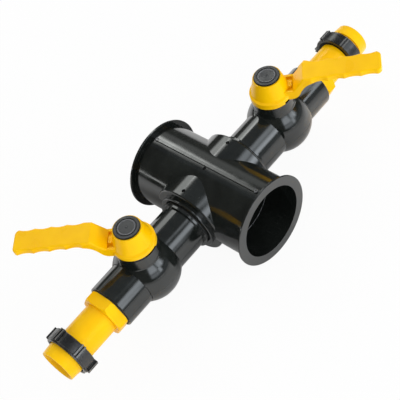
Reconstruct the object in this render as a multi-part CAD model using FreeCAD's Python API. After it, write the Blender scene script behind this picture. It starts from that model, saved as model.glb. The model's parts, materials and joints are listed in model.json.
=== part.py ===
import FreeCAD, Part
import math
import os

# Irrigation hose cross with two ball valves, in millimetres.
# X runs along the two branches, Y along the run tube and Z up along the valve stems.
# The origin lies under the crossing of the axes, level with the lowest point of the flanges.
os.makedirs("parts", exist_ok=True)
Vector = FreeCAD.Vector
ALONG_X = Vector(1, 0, 0)
ALONG_Y = Vector(0, 1, 0)
ALONG_Z = Vector(0, 0, 1)
CENTRE = Vector(0, 0, 0)
FULL_TURN = 360.0
HALF_TURN = 180.0

# Clearances
RUNNING_GAP = 0.05
FIT_GAP = 0.05
SEAT_GAP = 0.3
STOP_GAP = 0.4
SCREW_HOLE_GAP = 0.4
OVERLAP = 1.0

# Run tube with its two end flanges
RUN_RADIUS = 37.5
RUN_WALL = 4.0
RUN_BORE = RUN_RADIUS - RUN_WALL
RUN_HALF = 65.0
FLANGE_HEIGHT = 4.9
FLANGE_RADIUS = RUN_RADIUS + FLANGE_HEIGHT
FLANGE_THICK = 2.0
FLANGE_ROUND = 0.6
BEAD_WIDTH = 2.8
BEAD_RISE = 0.9
BEAD_TOP = RUN_RADIUS + BEAD_RISE
BEAD_SINK = 0.7
BEAD_FOOT = RUN_RADIUS - BEAD_SINK
BEAD_ROUND = 0.3
BEAD_END_GAP = 8.0
BEAD_HALF = RUN_HALF - BEAD_END_GAP

# Side pads and bosses that carry the valves
PAD_RADIUS = 35.3
PAD_SET_BACK = 1.0
PAD_FACE = RUN_RADIUS - PAD_SET_BACK
PAD_ROUND = 1.5
BOSS_RADIUS = 28.5
BOSS_HEIGHT = 3.5
BOSS_FACE = PAD_FACE + BOSS_HEIGHT
BOSS_ROUND = 0.8
PIT_DEPTH = 0.9
PAD_PIT_RADIUS = 2.1
PAD_PIT_X = 30.0
RUN_PIT_RADIUS = 1.7
RUN_PIT_X = 3.2
RUN_PIT_Y = -1.8

# Valve body from the run tube outwards
INLET_THREAD = 20.95
INLET_HOLE = INLET_THREAD + FIT_GAP
INLET_WALL = 3.55
INLET_BORE = INLET_THREAD - INLET_WALL
INLET_END_GAP = 0.3
INLET_END = RUN_BORE + INLET_END_GAP
GASKET_WIDTH = 3.0
GASKET_OUTER = INLET_HOLE + GASKET_WIDTH
GASKET_THICK = 1.6
SHOULDER_START = BOSS_FACE + GASKET_THICK
SHOULDER_RADIUS = 25.0
SHOULDER_THICK = 2.0
SHOULDER_END = SHOULDER_START + SHOULDER_THICK
INLET_RADIUS = 22.5
INLET_BORE_END = 68.0
BALL_X = 93.3
BULGE_RADIUS = 29.8
NECK_RADIUS = 19.0
NECK_TOP = 35.5
NECK_BLEND = 3.0
NECK_SINK = 0.3

# Ball, seats and the welded outlet end
BALL_RADIUS = 19.0
CAVITY_GAP = 0.4
CAVITY_RADIUS = BALL_RADIUS + CAVITY_GAP
PORT_WALL = 6.5
PORT_RADIUS = BALL_RADIUS - PORT_WALL
SEAT_DEPTH = 8.5
SEAT_NEAR = BALL_RADIUS - SEAT_DEPTH
SEAT_THICK = 5.0
SEAT_FAR = SEAT_NEAR + SEAT_THICK
SEAT_EASE = 0.2
SEAT_BORE = PORT_RADIUS + SEAT_EASE
SEAM_STEP = 3.4
SEAM_X = BALL_X + SEAT_FAR + SEAM_STEP
OUTLET_RADIUS = 22.1
OUTLET_END = 140.5
OUTLET_ROUND = 0.7
OUTLET_THREAD = 16.65
OUTLET_THREAD_LENGTH = 19.5
OUTLET_THREAD_START = OUTLET_END - OUTLET_THREAD_LENGTH
OUTLET_FUNNEL = 3.0
OUTLET_PORT_END = OUTLET_THREAD_START - OUTLET_FUNNEL

# Stem with two O-rings
STEM_RADIUS = 6.95
STEM_HOLE = STEM_RADIUS + RUNNING_GAP
STEM_FOOT_RADIUS = 9.0
STEM_FOOT_GAP = 0.6
STEM_FOOT_BOTTOM = BALL_RADIUS + STEM_FOOT_GAP
STEM_FOOT_THICK = 3.2
STEM_FOOT_TOP = STEM_FOOT_BOTTOM + STEM_FOOT_THICK
TONGUE_WIDTH = 5.0
TONGUE_LENGTH = 12.0
TONGUE_DEPTH = 3.4
TONGUE_BOTTOM = BALL_RADIUS - TONGUE_DEPTH
SLOT_GAP = 0.1
GROOVE_DEPTH = 1.75
GROOVE_FLOOR = STEM_RADIUS - GROOVE_DEPTH
GROOVE_WIDTH = 2.2
GROOVE_STEP = 4.5
FIRST_GROOVE = STEM_FOOT_TOP + GROOVE_STEP
GROOVE_HEIGHTS = (FIRST_GROOVE, FIRST_GROOVE + GROOVE_STEP)
STEM_SQUARE = 9.7
STEM_COLLAR = 1.3
STEM_SQUARE_START = NECK_TOP + STEM_COLLAR

# Handle: hub, skirt, stop sector and square socket
LEVER_REST = -51.5
SKIRT_RADIUS = 19.3
SKIRT_LIFT = 2.5
SKIRT_BOTTOM = NECK_TOP + SKIRT_LIFT
SKIRT_HEIGHT = 3.4
SKIRT_TOP = SKIRT_BOTTOM + SKIRT_HEIGHT
SKIRT_HOLLOW = 14.6
SKIRT_DEPTH = 5.5
SKIRT_CEILING = SKIRT_BOTTOM + SKIRT_DEPTH
STOP_SECTOR_START = 165.0
STOP_SECTOR_SPAN = 145.0
STOP_SECTOR_LIFT = 0.5
STOP_SECTOR_BOTTOM = NECK_TOP + STOP_SECTOR_LIFT
STOP_INNER_EASE = 0.4
STOP_INNER = SKIRT_HOLLOW + STOP_INNER_EASE
STOP_OUTER_EASE = 0.7
STOP_OUTER = SKIRT_RADIUS - STOP_OUTER_EASE
QUARTER_TURN = 90.0
STOP_PLAY = 1.0
SOCKET_DEPTH = 6.4
SOCKET_CEILING = SKIRT_CEILING + SOCKET_DEPTH
STEM_TOP_GAP = 0.2
STEM_TOP = SOCKET_CEILING - STEM_TOP_GAP
SOCKET_ROOF = 1.4
CUP_FLOOR = SOCKET_CEILING + SOCKET_ROOF
CUP_DEPTH = 6.9
CUP_RADIUS = 10.9
HUB_TOP = CUP_FLOOR + CUP_DEPTH
HUB_RIM = 2.0
HUB_TOP_RADIUS = CUP_RADIUS + HUB_RIM
HUB_FOOT_RADIUS = 17.4
HUB_FOOT_STEP = 1.2
HUB_FOOT = SKIRT_TOP + HUB_FOOT_STEP

# Lever, with heights above the branch axis and lengths from the stem axis
LEVER_TOP = 58.6
LEVER_THICK = 4.9
LEVER_LOW = LEVER_TOP - LEVER_THICK
LEVER_PLATE = 3.0
LEVER_ROOT = 8.0
LEVER_CRANK = 20.6
LEVER_CRANK_RISE = 13.0
LEVER_ROOT_TOP = LEVER_TOP - LEVER_CRANK_RISE
LEVER_CRANK_LENGTH = 10.8
LEVER_BEND = LEVER_CRANK + LEVER_CRANK_LENGTH
LEVER_TIP = 99.5
LEVER_HALF = 10.9
PEAK_STEP = 0.6
LEVER_PEAK = LEVER_HALF + PEAK_STEP
HOLLOW_STEP = 0.7
LEVER_HOLLOW = LEVER_HALF - HOLLOW_STEP
GRIP_SET_BACK = 7.1
LEVER_FIRST_PEAK = LEVER_BEND + GRIP_SET_BACK
LEVER_SCALLOPS = 4
TIP_LENGTH = 3.8
LEVER_PITCH = (LEVER_TIP - TIP_LENGTH - LEVER_FIRST_PEAK) / LEVER_SCALLOPS
CORNER_LENGTH = 1.0
LEVER_CORNER = LEVER_TIP - CORNER_LENGTH
CORNER_STEP = 1.2
LEVER_CORNER_HALF = LEVER_HALF - CORNER_STEP
TIP_STEP = 3.5
LEVER_TIP_HALF = LEVER_HALF - TIP_STEP
LEVER_WALL = 2.4
LEVER_EDGE_ROUND = 1.6
CURVE_LENGTH = 24.4
LEVER_CURVE_END = LEVER_CRANK + CURVE_LENGTH
KNEE_LENGTH = 13.9
LEVER_KNEE = LEVER_CRANK + KNEE_LENGTH
LEVER_KNEE_DROP = 2.6
SLOPE_LENGTH = 7.4
LEVER_SLOPE = LEVER_CRANK + SLOPE_LENGTH
LEVER_SLOPE_DROP = 9.4
HEEL_SET_BACK = 3.6
LEVER_HEEL = LEVER_CRANK - HEEL_SET_BACK
LEVER_HEEL_DROP = 1.4
LEVER_HEEL_HEIGHT = SKIRT_BOTTOM - LEVER_HEEL_DROP
CHANNEL_LENGTH = 2.2
CHANNEL_START = LEVER_CRANK + CHANNEL_LENGTH
CHANNEL_FOOT_DROP = 1.1
CHANNEL_EASE = 0.6
CHANNEL_BEND = LEVER_BEND + CHANNEL_EASE
POCKET_WALL = 2.6
POCKET_HALF = LEVER_HALF - POCKET_WALL
POCKET_DEPTH = 2.7
RIB_BLOCK_HALF = 3.6
RIB_BLOCK_GAP = 0.8
RIB_BLOCK_END = LEVER_CRANK - RIB_BLOCK_GAP
RIB_BLOCK_RISE = 0.5

# Handle screw and cap
SCREW_RADIUS = 2.05
SCREW_LENGTH = 11.3
SCREW_BOTTOM = CUP_FLOOR - SCREW_LENGTH
SCREW_HEAD_RADIUS = 4.6
SCREW_HEAD_HEIGHT = 2.7
SCREW_HEAD_ROUND = 1.0
CROSS_WIDTH = 1.1
CROSS_LENGTH = 5.0
CROSS_DEPTH = 1.5
CAP_LIP = 0.9
CAP_RADIUS = CUP_RADIUS + CAP_LIP
CAP_THICK = 1.4
CAP_TOP = HUB_TOP + CAP_THICK
CAP_PLUG_DEPTH = 3.2
CAP_PLUG_BOTTOM = HUB_TOP - CAP_PLUG_DEPTH
CAP_PLUG_WALL = 1.6
CAP_ROUND = 0.5
CAP_RING_OUTER = 9.0
CAP_RING_INNER = 8.2
CAP_RING_DEPTH = 0.35

# Outlet connector with its hexagon, tube and barbed spigot
CONNECTOR_SET_BACK = 3.0
CONNECTOR_START = OUTLET_THREAD_START + CONNECTOR_SET_BACK
CONNECTOR_THREAD = OUTLET_THREAD - FIT_GAP
CONNECTOR_WALL = 2.6
TUBE_RADIUS = 15.6
CONNECTOR_BORE = TUBE_RADIUS - CONNECTOR_WALL
SEAL_THICK = 0.8
SEAL_RADIUS = 20.4
HEX_START = OUTLET_END + SEAL_THICK
HEX_LENGTH = 10.7
HEX_END = HEX_START + HEX_LENGTH
HEX_CORNER = 22.0
HEX_CHAMFER = 1.6
HEX_CHAMFER_STEP = 2.2
HEX_CHAMFER_RADIUS = HEX_CORNER - HEX_CHAMFER_STEP
HEX_SIDES = 6
BARB_START = 196.0
BARB_RADIUS = 17.2
SPIGOT_LENGTH = 11.0
SPIGOT_END = BARB_START + SPIGOT_LENGTH
SPIGOT_TAPER = 1.0
SPIGOT_RADIUS = BARB_RADIUS - SPIGOT_TAPER
SPIGOT_LIP = 1.4
SPIGOT_MOUTH = SPIGOT_RADIUS - SPIGOT_LIP
SPIGOT_FLARE = 4.0

# Lock rings, with lengths from the ring's back face; each rests at its own place and turn
RING_SET_BACKS = {"right": 16.2, "left": 12.3}
RING_TURNS = {"right": -2.0, "left": 18.0}
RING_LENGTH = 11.0
RING_EASE = 1.2
RING_BORE = BARB_RADIUS + RING_EASE
RING_WALL = 3.2
RING_RADIUS = RING_BORE + RING_WALL
RING_BACK_THICK = 2.5
RING_BACK_GAP = 0.4
RING_LIP_LENGTH = 1.5
RING_LIP_END = RING_LENGTH + RING_LIP_LENGTH
RING_LIP_STEP = 0.9
RING_LIP_RADIUS = RING_RADIUS - RING_LIP_STEP
RING_CHAMFER = 0.5
RIB_HEIGHT = 2.1
RIB_RADIUS = RING_RADIUS + RIB_HEIGHT
RIB_WIDTH = 1.3
RIB_SPACING = 2.9
RIB_COUNT = 6
RIB_OVERHANG = 0.4

BALL_CENTRE = Vector(BALL_X, 0, 0)


def turned(points, origin, axis, outward):
    """Solid of revolution from (along, radius) corners."""
    corners = [origin + axis * along + outward * radius for along, radius in points]
    wire = Part.makePolygon(corners + corners[:1])
    return Part.Face(wire).revolve(origin, axis, FULL_TURN)


def turned_x(points):
    """Solid of revolution about the branch axis."""
    return turned(points, CENTRE, ALONG_X, ALONG_Z)


def turned_z(points):
    """Solid of revolution about the stem axis of the right valve."""
    return turned(points, BALL_CENTRE, ALONG_Z, ALONG_X)


def rod(radius, start, end, axis):
    """Cylinder about an axis through the crossing, between two distances along it."""
    return Part.makeCylinder(radius, end - start, axis * start, axis)


def stem_rod(radius, bottom, top):
    """Cylinder about the stem axis between two heights."""
    return Part.makeCylinder(radius, top - bottom, BALL_CENTRE + ALONG_Z * bottom, ALONG_Z)


def centred_box(length, width, bottom, top):
    """Box centred on the stem axis between two heights."""
    corner = BALL_CENTRE + Vector(-length / 2, -width / 2, bottom)
    return Part.makeBox(length, width, top - bottom, corner)


def ring_sector(inner, outer, bottom, top, start, span):
    """Part of a ring about the stem axis, from a start angle over a span in degrees."""
    tall = top - bottom
    base = BALL_CENTRE + ALONG_Z * bottom
    whole = Part.makeCylinder(outer, tall, base, ALONG_Z, span)
    whole = whole.cut(Part.makeCylinder(inner, tall, base, ALONG_Z))
    return whole.rotate(BALL_CENTRE, ALONG_Z, start)


def edges_at(shape, test):
    """Edges whose centre passes a test."""
    return [edge for edge in shape.Edges if test(edge.CenterOfMass, edge)]


def is_circle(edge, radius):
    """True for a circular edge of a radius."""
    if edge.Degenerated or edge.Curve.TypeId != "Part::GeomCircle":
        return False
    return abs(edge.Curve.Radius - radius) < FIT_GAP


def mould_bead():
    """Low flat bead along the top of the run tube, round at both ends."""
    corner = Vector(-BEAD_WIDTH / 2, -BEAD_HALF, BEAD_FOOT)
    bar = Part.makeBox(BEAD_WIDTH, 2 * BEAD_HALF, BEAD_TOP - BEAD_FOOT, corner)
    ends = [rod(BEAD_WIDTH / 2, BEAD_FOOT, BEAD_TOP, ALONG_Z).translate(ALONG_Y * end)
            for end in (-BEAD_HALF, BEAD_HALF)]
    bar = bar.fuse(ends).removeSplitter()
    return bar.makeFillet(BEAD_ROUND, edges_at(bar, lambda centre, edge: centre.z > BEAD_TOP - FIT_GAP))


def cross_outside():
    """Outer form of the cross: run tube, flanges, pads, bosses and the mould beads."""
    body = rod(RUN_RADIUS, -RUN_HALF, RUN_HALF, ALONG_Y)
    for end in (-RUN_HALF, RUN_HALF - FLANGE_THICK):
        flange = rod(FLANGE_RADIUS, end, end + FLANGE_THICK, ALONG_Y)
        rims = edges_at(flange, lambda centre, edge: is_circle(edge, FLANGE_RADIUS))
        body = body.fuse(flange.makeFillet(FLANGE_ROUND, rims))
    pads = rod(PAD_RADIUS, -PAD_FACE, PAD_FACE, ALONG_X)
    pads = pads.makeFillet(PAD_ROUND, edges_at(pads, lambda centre, edge: is_circle(edge, PAD_RADIUS)))
    bosses = rod(BOSS_RADIUS, -BOSS_FACE, BOSS_FACE, ALONG_X)
    rims = edges_at(bosses, lambda centre, edge: is_circle(edge, BOSS_RADIUS))
    bosses = bosses.makeFillet(BOSS_ROUND, rims)
    body = body.fuse([pads, bosses])
    return body.fuse([mould_bead(), mould_bead().rotate(CENTRE, ALONG_Y, HALF_TURN)])


def mould_pit(place, radius):
    """Ball that sinks one pit depth below a point of the surface."""
    return Part.makeSphere(radius, place + ALONG_Z * (radius - PIT_DEPTH))


def cross_pits():
    """Small round mould pits on the pads and beside the bead."""
    pits = [mould_pit(Vector(side * PAD_PIT_X, 0, PAD_RADIUS), PAD_PIT_RADIUS) for side in (-1, 1)]
    return pits + [mould_pit(Vector(-RUN_PIT_X, RUN_PIT_Y, RUN_RADIUS), RUN_PIT_RADIUS)]


def cross_body():
    """The moulded cross, open right through the run and into both valve sockets."""
    body = cross_outside()
    body = body.cut(rod(RUN_BORE, -RUN_HALF - OVERLAP, RUN_HALF + OVERLAP, ALONG_Y))
    reach = BOSS_FACE + OVERLAP
    body = body.cut(rod(INLET_HOLE, -reach, reach, ALONG_X))
    for pit in cross_pits():
        body = body.cut(pit)
    return body.removeSplitter()


def inlet_gasket():
    """Flat rubber ring between the boss and the shoulder of the valve."""
    ring = rod(GASKET_OUTER, BOSS_FACE, SHOULDER_START, ALONG_X)
    return ring.cut(rod(INLET_HOLE, BOSS_FACE, SHOULDER_START, ALONG_X))


def neck():
    """Round neck of the valve, blended into the bulge at its foot."""
    across = NECK_RADIUS + NECK_BLEND
    height = math.sqrt((BULGE_RADIUS + NECK_BLEND) ** 2 - across ** 2) - NECK_SINK
    towards = math.atan2(height, across)
    blend = [(across - NECK_BLEND * math.cos(angle), height - NECK_BLEND * math.sin(angle))
             for angle in (towards, towards / 2, 0)]
    foot, middle, start = [BALL_CENTRE + Vector(radius, 0, z) for radius, z in blend]
    below = BALL_CENTRE + ALONG_X * blend[0][0]
    rim = BALL_CENTRE + Vector(NECK_RADIUS, 0, NECK_TOP)
    top = BALL_CENTRE + ALONG_Z * NECK_TOP
    edges = [Part.makeLine(BALL_CENTRE, below), Part.makeLine(below, foot),
             Part.Arc(foot, middle, start).toShape(), Part.makeLine(start, rim),
             Part.makeLine(rim, top), Part.makeLine(top, BALL_CENTRE)]
    return Part.Face(Part.Wire(edges)).revolve(BALL_CENTRE, ALONG_Z, FULL_TURN)


def valve_outside():
    """Inlet spigot, shoulder, tube, round bulge and neck of the valve."""
    inlet = turned_x([
        (INLET_END, 0), (INLET_END, INLET_THREAD), (SHOULDER_START, INLET_THREAD),
        (SHOULDER_START, SHOULDER_RADIUS), (SHOULDER_END, SHOULDER_RADIUS),
        (SHOULDER_END, INLET_RADIUS), (BALL_X, INLET_RADIUS), (BALL_X, 0)])
    body = inlet.fuse([Part.makeSphere(BULGE_RADIUS, BALL_CENTRE), neck()])
    beyond = rod(BULGE_RADIUS + OVERLAP, SEAM_X, BALL_X + BULGE_RADIUS + OVERLAP, ALONG_X)
    return body.cut(beyond)


def valve_body():
    """The valve moulding with its inlet bore, ball chamber, stem hole and stop block."""
    chamber_start = BALL_X - SEAT_FAR
    bore = turned_x([
        (INLET_END - OVERLAP, 0), (INLET_END - OVERLAP, INLET_BORE), (INLET_BORE_END, INLET_BORE),
        (chamber_start, SEAT_BORE), (chamber_start, CAVITY_RADIUS),
        (SEAM_X + OVERLAP, CAVITY_RADIUS), (SEAM_X + OVERLAP, 0)])
    foot_recess = stem_rod(STEM_FOOT_RADIUS + RUNNING_GAP, 0, STEM_FOOT_TOP + RUNNING_GAP)
    stem_hole = stem_rod(STEM_HOLE, 0, NECK_TOP + OVERLAP)
    stop_start = STOP_SECTOR_START + STOP_SECTOR_SPAN + STOP_PLAY
    stop_span = FULL_TURN - STOP_SECTOR_SPAN - QUARTER_TURN - 2 * STOP_PLAY
    stop = ring_sector(STOP_INNER, STOP_OUTER, NECK_TOP - OVERLAP, SKIRT_BOTTOM - STOP_GAP,
                       stop_start, stop_span)
    body = valve_outside().fuse(stop)
    return body.cut([bore, foot_recess, stem_hole]).removeSplitter()


def seat(side):
    """Seat ring with a hollow face that fits the ball, on one side of it."""
    near = BALL_X + side * SEAT_NEAR
    far = BALL_X + side * SEAT_FAR
    start, end = sorted((near, far))
    ring = rod(CAVITY_RADIUS - RUNNING_GAP, start, end, ALONG_X)
    ring = ring.cut(rod(SEAT_BORE, start, end, ALONG_X))
    return ring.cut(Part.makeSphere(BALL_RADIUS + SEAT_GAP, BALL_CENTRE))


def valve_end():
    """Outlet tube that closes the ball chamber and takes the connector's thread."""
    plug_start = BALL_X + SEAT_FAR
    tube = turned_x([
        (plug_start, SEAT_BORE), (plug_start, CAVITY_RADIUS - FIT_GAP), (SEAM_X, CAVITY_RADIUS - FIT_GAP),
        (SEAM_X, OUTLET_RADIUS), (OUTLET_END, OUTLET_RADIUS), (OUTLET_END, OUTLET_THREAD),
        (OUTLET_THREAD_START, OUTLET_THREAD), (OUTLET_PORT_END, SEAT_BORE)])
    rim = edges_at(tube, lambda centre, edge: is_circle(edge, OUTLET_RADIUS)
                   and centre.x > OUTLET_END - OVERLAP)
    return tube.makeFillet(OUTLET_ROUND, rim)


def turned_to_lever(shape):
    """A piece of the spindle turned from open to the rest position of the lever."""
    return shape.rotate(BALL_CENTRE, ALONG_Z, LEVER_REST)


def ball():
    """Ball with its through port and the slot for the stem's tongue."""
    solid = Part.makeSphere(BALL_RADIUS, BALL_CENTRE)
    port = rod(PORT_RADIUS, BALL_X - BULGE_RADIUS, BALL_X + BULGE_RADIUS, ALONG_X)
    slot = centred_box(2 * BALL_RADIUS, TONGUE_WIDTH + 2 * SLOT_GAP, TONGUE_BOTTOM - SLOT_GAP, BALL_RADIUS)
    return turned_to_lever(solid.cut([port, slot]))


def stem():
    """Stem with tongue, foot, O-ring grooves, square top and screw hole."""
    shaft = stem_rod(STEM_RADIUS, STEM_FOOT_BOTTOM, STEM_SQUARE_START)
    foot = stem_rod(STEM_FOOT_RADIUS, STEM_FOOT_BOTTOM, STEM_FOOT_TOP)
    tongue = centred_box(TONGUE_LENGTH, TONGUE_WIDTH, TONGUE_BOTTOM, STEM_FOOT_BOTTOM)
    square = centred_box(STEM_SQUARE, STEM_SQUARE, STEM_SQUARE_START, STEM_TOP)
    body = shaft.fuse([foot, tongue, square])
    for height in GROOVE_HEIGHTS:
        half = GROOVE_WIDTH / 2
        band = stem_rod(STEM_RADIUS + OVERLAP, height - half, height + half)
        body = body.cut(band.cut(stem_rod(GROOVE_FLOOR, height - half, height + half)))
    body = body.cut(stem_rod(SCREW_RADIUS + FIT_GAP, SCREW_BOTTOM - OVERLAP, STEM_TOP))
    return turned_to_lever(body)


def stem_seals():
    """The two O-rings in the grooves of the stem."""
    thick = GROOVE_DEPTH / 2
    rings = []
    for height in GROOVE_HEIGHTS:
        centre = BALL_CENTRE + ALONG_Z * height
        rings.append(Part.makeTorus(GROOVE_FLOOR + thick, thick, centre, ALONG_Z))
    return Part.makeCompound(rings)


def lever_point(along, across, height=0.0):
    """A point in the lever's own directions from the stem axis."""
    return BALL_CENTRE + Vector(along, across, height)


def lever_plan():
    """Outline of the lever from above, with scalloped grips on both edges."""
    peaks = [LEVER_FIRST_PEAK + LEVER_PITCH * step for step in range(LEVER_SCALLOPS + 1)]
    edges = []
    for side in (-1, 1):
        root = lever_point(LEVER_ROOT, side * LEVER_HALF)
        bend = lever_point(LEVER_BEND, side * LEVER_HALF)
        first = lever_point(peaks[0], side * LEVER_PEAK)
        edges += [Part.makeLine(root, bend), Part.makeLine(bend, first)]
        for start, end in zip(peaks[:-1], peaks[1:]):
            middle = lever_point((start + end) / 2, side * LEVER_HOLLOW)
            arc = Part.Arc(lever_point(start, side * LEVER_PEAK), middle, lever_point(end, side * LEVER_PEAK))
            edges.append(arc.toShape())
        last = lever_point(peaks[-1], side * LEVER_PEAK)
        tip = lever_point(LEVER_TIP, side * LEVER_TIP_HALF)
        corner = lever_point(LEVER_CORNER, side * LEVER_CORNER_HALF)
        edges.append(Part.Arc(last, corner, tip).toShape())
    ends = ((LEVER_ROOT, LEVER_HALF), (LEVER_TIP, LEVER_TIP_HALF))
    edges += [Part.makeLine(lever_point(along, -half), lever_point(along, half)) for along, half in ends]
    return Part.Face(Part.Wire(Part.__sortEdges__(edges)))


def side_slab(edges, half):
    """Slab of a half width, cut to a closed side outline on the lever's centre line."""
    face = Part.Face(Part.Wire(edges))
    slab = face.extrude(ALONG_Y * 2 * half)
    return slab.translate(ALONG_Y * -half)


def side_lines(points):
    """Straight edges of a side outline through (along, height) corners."""
    corners = [lever_point(along, 0, height) for along, height in points]
    return [Part.makeLine(start, end) for start, end in zip(corners[:-1], corners[1:])]


def lever_underside():
    """The sweeping lower edge of the lever, from the thin grip down to its heel at the skirt."""
    points = ((LEVER_CURVE_END, LEVER_LOW), (LEVER_KNEE, LEVER_LOW - LEVER_KNEE_DROP),
              (LEVER_SLOPE, LEVER_LOW - LEVER_SLOPE_DROP), (LEVER_HEEL, LEVER_HEEL_HEIGHT))
    curve = Part.BSplineCurve()
    curve.interpolate(Points=[lever_point(along, 0, height) for along, height in points],
                      InitialTangent=-ALONG_X, FinalTangent=-ALONG_X)
    return curve.toShape()


def lever_channel():
    """The hollow under the lever, between its turned-down sides."""
    ceiling = LEVER_TOP - LEVER_PLATE
    end = LEVER_TIP - LEVER_WALL
    edges = side_lines([
        (CHANNEL_START, 0), (CHANNEL_START, LEVER_ROOT_TOP - CHANNEL_FOOT_DROP), (CHANNEL_BEND, ceiling),
        (end, ceiling), (end, 0), (CHANNEL_START, 0)])
    return side_slab(edges, LEVER_HOLLOW - LEVER_WALL)


def lever_block(half, end, bottom, top):
    """Straight block on the lever's centre line, from its root to an end."""
    return Part.makeBox(end - LEVER_ROOT, 2 * half, top - bottom, lever_point(LEVER_ROOT, -half, bottom))


def lever():
    """The cranked lever: a scalloped plate with turned-down sides and a pocket beside the hub."""
    beyond = LEVER_TIP + OVERLAP
    outline = side_lines([
        (LEVER_HEEL, LEVER_HEEL_HEIGHT), (LEVER_ROOT, LEVER_HEEL_HEIGHT), (LEVER_ROOT, LEVER_ROOT_TOP),
        (LEVER_CRANK, LEVER_ROOT_TOP), (LEVER_BEND, LEVER_TOP), (beyond, LEVER_TOP),
        (beyond, LEVER_LOW), (LEVER_CURVE_END, LEVER_LOW)])
    slab = side_slab(outline + [lever_underside()], LEVER_PEAK + OVERLAP)
    block = lever_plan().extrude(ALONG_Z * (LEVER_TOP + OVERLAP)).common(slab)
    top_edges = edges_at(block, lambda centre, edge: edge.BoundBox.ZMax > LEVER_TOP - FIT_GAP
                         and edge.BoundBox.ZMin > LEVER_ROOT_TOP - FIT_GAP)
    block = block.makeFillet(LEVER_EDGE_ROUND, top_edges)
    floor = LEVER_ROOT_TOP - POCKET_DEPTH
    pocket = lever_block(POCKET_HALF, LEVER_CRANK, floor, LEVER_ROOT_TOP + OVERLAP)
    rib = lever_block(RIB_BLOCK_HALF, RIB_BLOCK_END, floor - OVERLAP, LEVER_ROOT_TOP + RIB_BLOCK_RISE)
    under_hub = stem_rod(SKIRT_RADIUS - FIT_GAP, 0, SKIRT_BOTTOM)
    return block.cut([lever_channel(), pocket, under_hub]).fuse(rib)


def handle():
    """Yellow handle: tapered hub with skirt, stop sector, square socket and lever."""
    hub = turned_z([
        (SKIRT_BOTTOM, 0), (SKIRT_BOTTOM, SKIRT_RADIUS), (SKIRT_TOP, SKIRT_RADIUS),
        (HUB_FOOT, HUB_FOOT_RADIUS), (HUB_TOP, HUB_TOP_RADIUS), (HUB_TOP, 0)])
    sector = ring_sector(STOP_INNER, SKIRT_RADIUS, STOP_SECTOR_BOTTOM, SKIRT_TOP,
                         STOP_SECTOR_START, STOP_SECTOR_SPAN)
    body = hub.fuse([sector, lever()])
    hollow = stem_rod(SKIRT_HOLLOW, SKIRT_BOTTOM - OVERLAP, SKIRT_CEILING)
    socket_side = STEM_SQUARE + 2 * FIT_GAP
    socket = centred_box(socket_side, socket_side, SKIRT_CEILING - OVERLAP, SOCKET_CEILING)
    screw_hole = stem_rod(SCREW_RADIUS + SCREW_HOLE_GAP, SOCKET_CEILING - OVERLAP, CUP_FLOOR + OVERLAP)
    cup = stem_rod(CUP_RADIUS, CUP_FLOOR, HUB_TOP + OVERLAP)
    return turned_to_lever(body.cut([hollow, socket, screw_hole, cup]).removeSplitter())


def handle_screw():
    """Pan-head screw that holds the handle on the stem."""
    head_top = CUP_FLOOR + SCREW_HEAD_HEIGHT
    head = stem_rod(SCREW_HEAD_RADIUS, CUP_FLOOR, head_top)
    rim = edges_at(head, lambda centre, edge: is_circle(edge, SCREW_HEAD_RADIUS)
                   and centre.z > CUP_FLOOR + OVERLAP)
    head = head.makeFillet(SCREW_HEAD_ROUND, rim)
    screw = head.fuse(stem_rod(SCREW_RADIUS, SCREW_BOTTOM, CUP_FLOOR))
    for size in ((CROSS_LENGTH, CROSS_WIDTH), (CROSS_WIDTH, CROSS_LENGTH)):
        screw = screw.cut(centred_box(size[0], size[1], head_top - CROSS_DEPTH, head_top))
    return turned_to_lever(screw)


def handle_cap():
    """Round cap with a ring groove that plugs the top of the hub."""
    disc = stem_rod(CAP_RADIUS, HUB_TOP, CAP_TOP)
    rim = edges_at(disc, lambda centre, edge: is_circle(edge, CAP_RADIUS) and centre.z > HUB_TOP + FIT_GAP)
    disc = disc.makeFillet(CAP_ROUND, rim)
    plug_radius = CUP_RADIUS - FIT_GAP
    cap = disc.fuse(stem_rod(plug_radius, CAP_PLUG_BOTTOM, HUB_TOP))
    cap = cap.cut(stem_rod(plug_radius - CAP_PLUG_WALL, CAP_PLUG_BOTTOM, HUB_TOP - FIT_GAP))
    groove = stem_rod(CAP_RING_OUTER, CAP_TOP - CAP_RING_DEPTH, CAP_TOP)
    groove = groove.cut(stem_rod(CAP_RING_INNER, CAP_TOP - CAP_RING_DEPTH, CAP_TOP))
    return turned_to_lever(cap.cut(groove))


def hexagon():
    """Hexagonal shoulder of the connector with chamfered corners."""
    corners = []
    for step in range(HEX_SIDES + 1):
        angle = math.radians(FULL_TURN * step / HEX_SIDES)
        corners.append(Vector(HEX_START, HEX_CORNER * math.cos(angle), HEX_CORNER * math.sin(angle)))
    prism = Part.Face(Part.makePolygon(corners)).extrude(ALONG_X * (HEX_END - HEX_START))
    envelope = turned_x([
        (HEX_START, 0), (HEX_START, SEAL_RADIUS), (HEX_START + HEX_CHAMFER, HEX_CORNER + FIT_GAP),
        (HEX_END - HEX_CHAMFER, HEX_CORNER + FIT_GAP), (HEX_END, HEX_CHAMFER_RADIUS), (HEX_END, 0)])
    return prism.common(envelope)


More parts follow.
